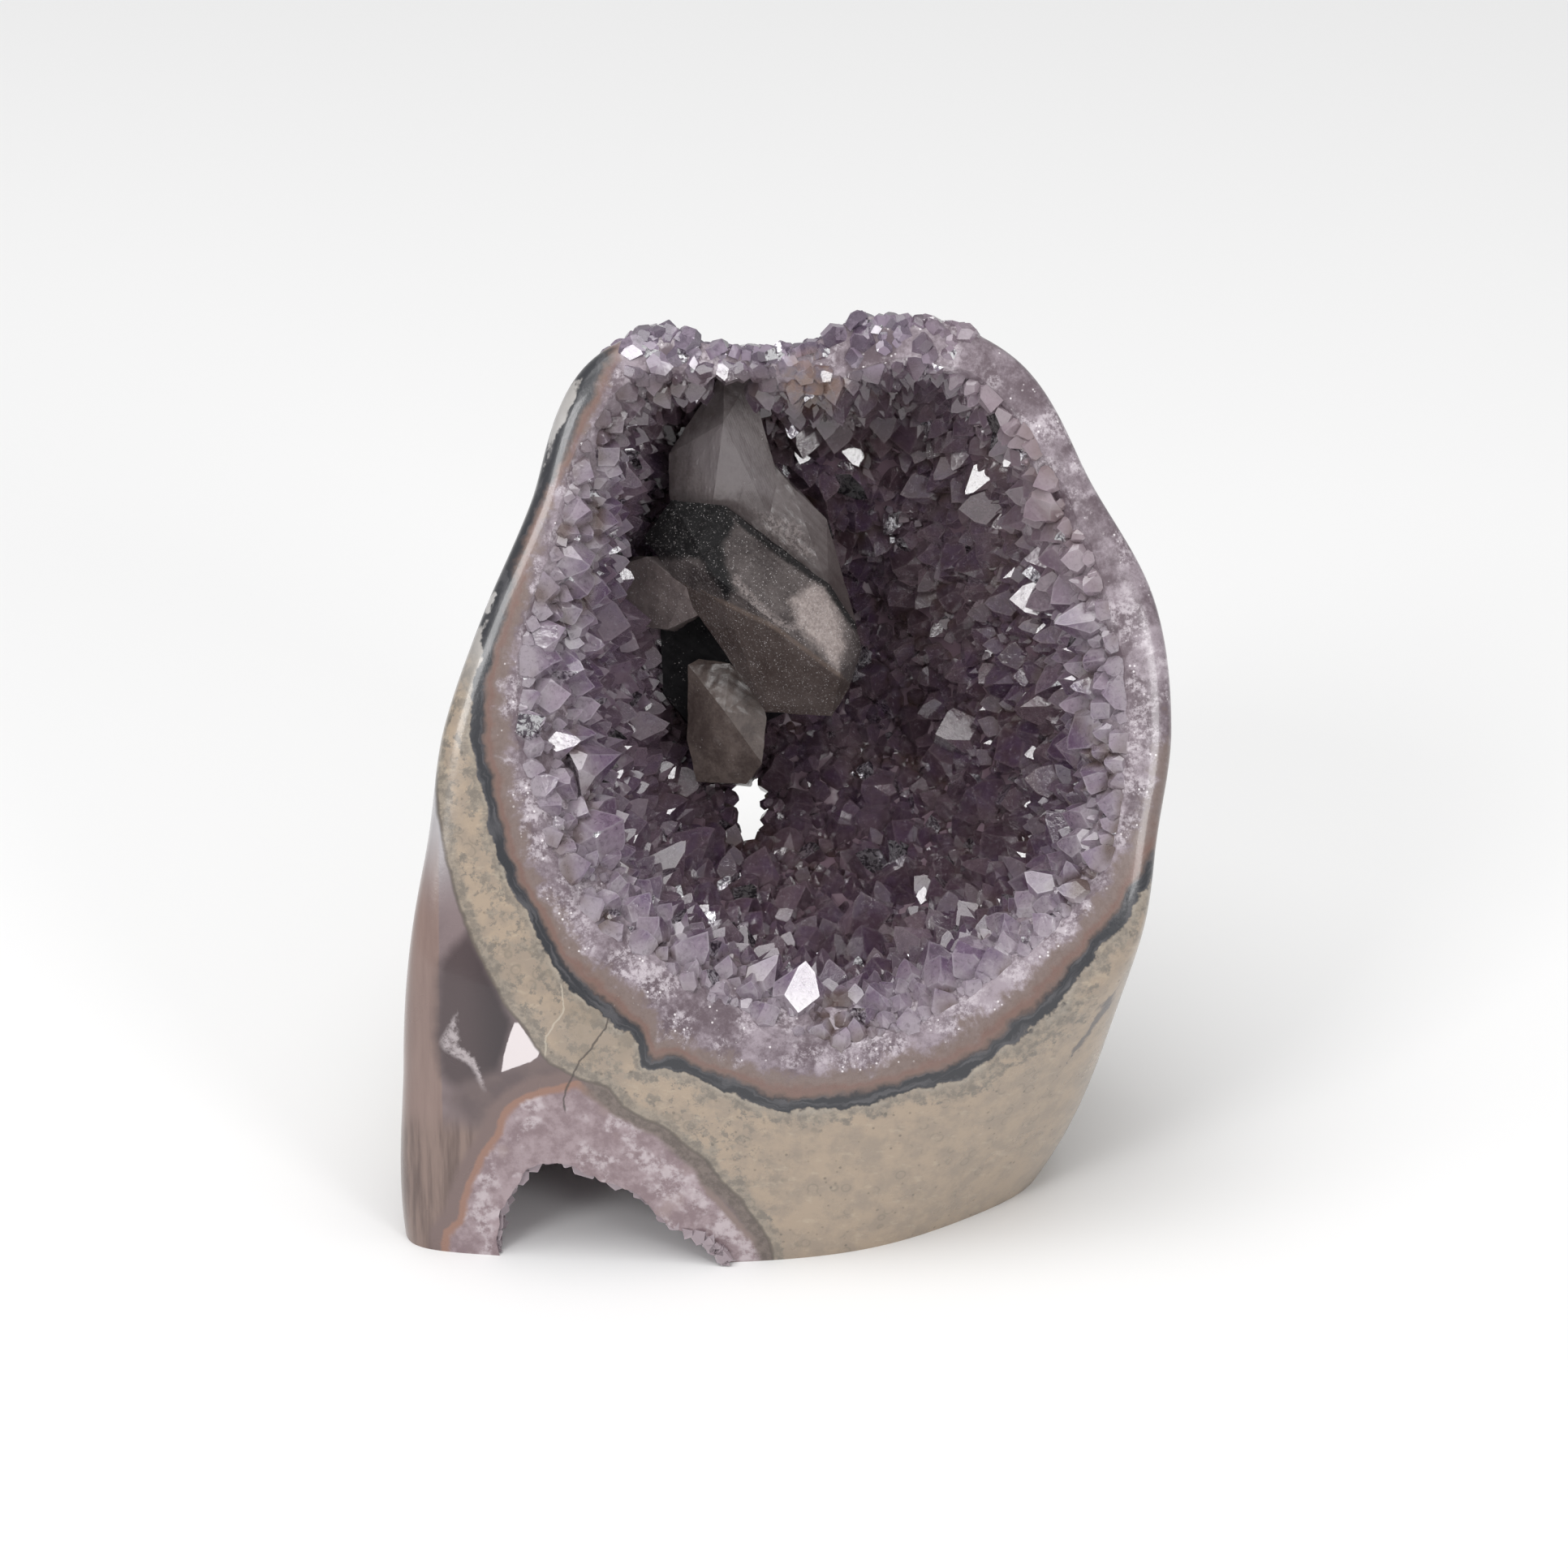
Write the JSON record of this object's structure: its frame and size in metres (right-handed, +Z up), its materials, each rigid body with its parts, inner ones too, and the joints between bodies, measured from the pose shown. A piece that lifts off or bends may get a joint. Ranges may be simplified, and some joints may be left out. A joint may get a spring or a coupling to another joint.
{
  "type": "amethyst druse",
  "caption": "Free-standing cut-base amethyst geode with a polished leaning face, a crystal-lined hollow, a calcite cluster and a small second hollow at its foot.",
  "frame": {"origin": "on the floor at the middle of the footprint's box", "axes": "+Z up, -Y towards the viewer of the polished face, +X to that viewer's right"},
  "size_m": [0.1215, 0.0903, 0.1424],
  "materials": {
    "rock_and_agate": "polished tan rock with a dark agate line, a red-brown band and a pale quartz rim",
    "amethyst": "glossy, partly clear purple crystals, paler at their roots",
    "pale_quartz": "sugary pale lilac quartz",
    "calcite": "satin smoky grey, partly clear, with black sparkling coating in places"
  },
  "bodies": {
    "root": {"geode_rock": "rock_and_agate", "amethyst_crust": "amethyst", "foot_crust": "pale_quartz", "calcite_cluster": "calcite"}
  },
  "joints": []
}
